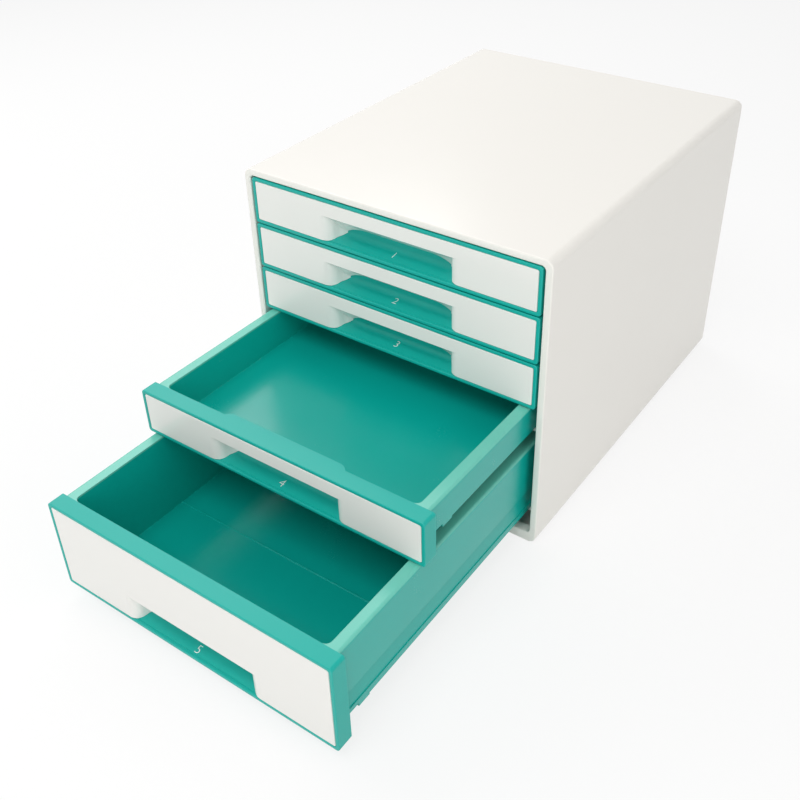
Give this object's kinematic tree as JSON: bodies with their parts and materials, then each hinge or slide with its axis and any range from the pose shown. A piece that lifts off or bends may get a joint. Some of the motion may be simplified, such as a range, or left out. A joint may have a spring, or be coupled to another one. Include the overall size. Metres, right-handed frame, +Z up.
{
  "type": "desktop drawer cabinet",
  "caption": "Free-standing desktop cabinet with pull-out paper drawers, each with a white front panel, a turquoise rim and tray and a finger scoop.",
  "frame": {"origin": "middle of the box that the cabinet and its open drawers take, at the level of the feet's undersides", "axes": "+Z up, +Y from the drawer fronts to the back of the cabinet, +X to the right as seen from the front; drawers slide out along -Y"},
  "size_m": [0.287, 0.612, 0.27],
  "materials": {
    "shell_white": "gloss white moulded plastic",
    "panel_white": "high-gloss white plastic",
    "front_turquoise": "satin-gloss turquoise plastic",
    "tray_turquoise": "satin-gloss turquoise plastic",
    "runner_white": "natural white low-friction plastic",
    "foot_rubber": "matt dark rubber"
  },
  "bodies": {
    "cabinet": {"shell": "shell_white", "back_panel": "shell_white", "left_runners": "runner_white", "right_runners": "runner_white", "feet": "foot_rubber"},
    "drawer_1": {"tray_1": "tray_turquoise", "front_1": "front_turquoise", "panel_1": "panel_white"},
    "drawer_2": {"tray_2": "tray_turquoise", "front_2": "front_turquoise", "panel_2": "panel_white"},
    "drawer_3": {"tray_3": "tray_turquoise", "front_3": "front_turquoise", "panel_3": "panel_white"},
    "drawer_4": {"tray_4": "tray_turquoise", "front_4": "front_turquoise", "panel_4": "panel_white"},
    "drawer_5": {"tray_5": "tray_turquoise", "front_5": "front_turquoise", "panel_5": "panel_white"}
  },
  "joints": [
    {"name": "drawer_1_slide", "type": "slide", "parent": "cabinet", "child": "drawer_1", "axis": [0, -1, 0], "range_m": [0, 0.28]},
    {"name": "drawer_2_slide", "type": "slide", "parent": "cabinet", "child": "drawer_2", "axis": [0, -1, 0], "range_m": [0, 0.28]},
    {"name": "drawer_3_slide", "type": "slide", "parent": "cabinet", "child": "drawer_3", "axis": [0, -1, 0], "range_m": [0, 0.28]},
    {"name": "drawer_4_slide", "type": "slide", "parent": "cabinet", "child": "drawer_4", "axis": [0, -1, 0], "range_m": [-0.147, 0.133]},
    {"name": "drawer_5_slide", "type": "slide", "parent": "cabinet", "child": "drawer_5", "axis": [0, -1, 0], "range_m": [-0.249, 0.031]}
  ]
}
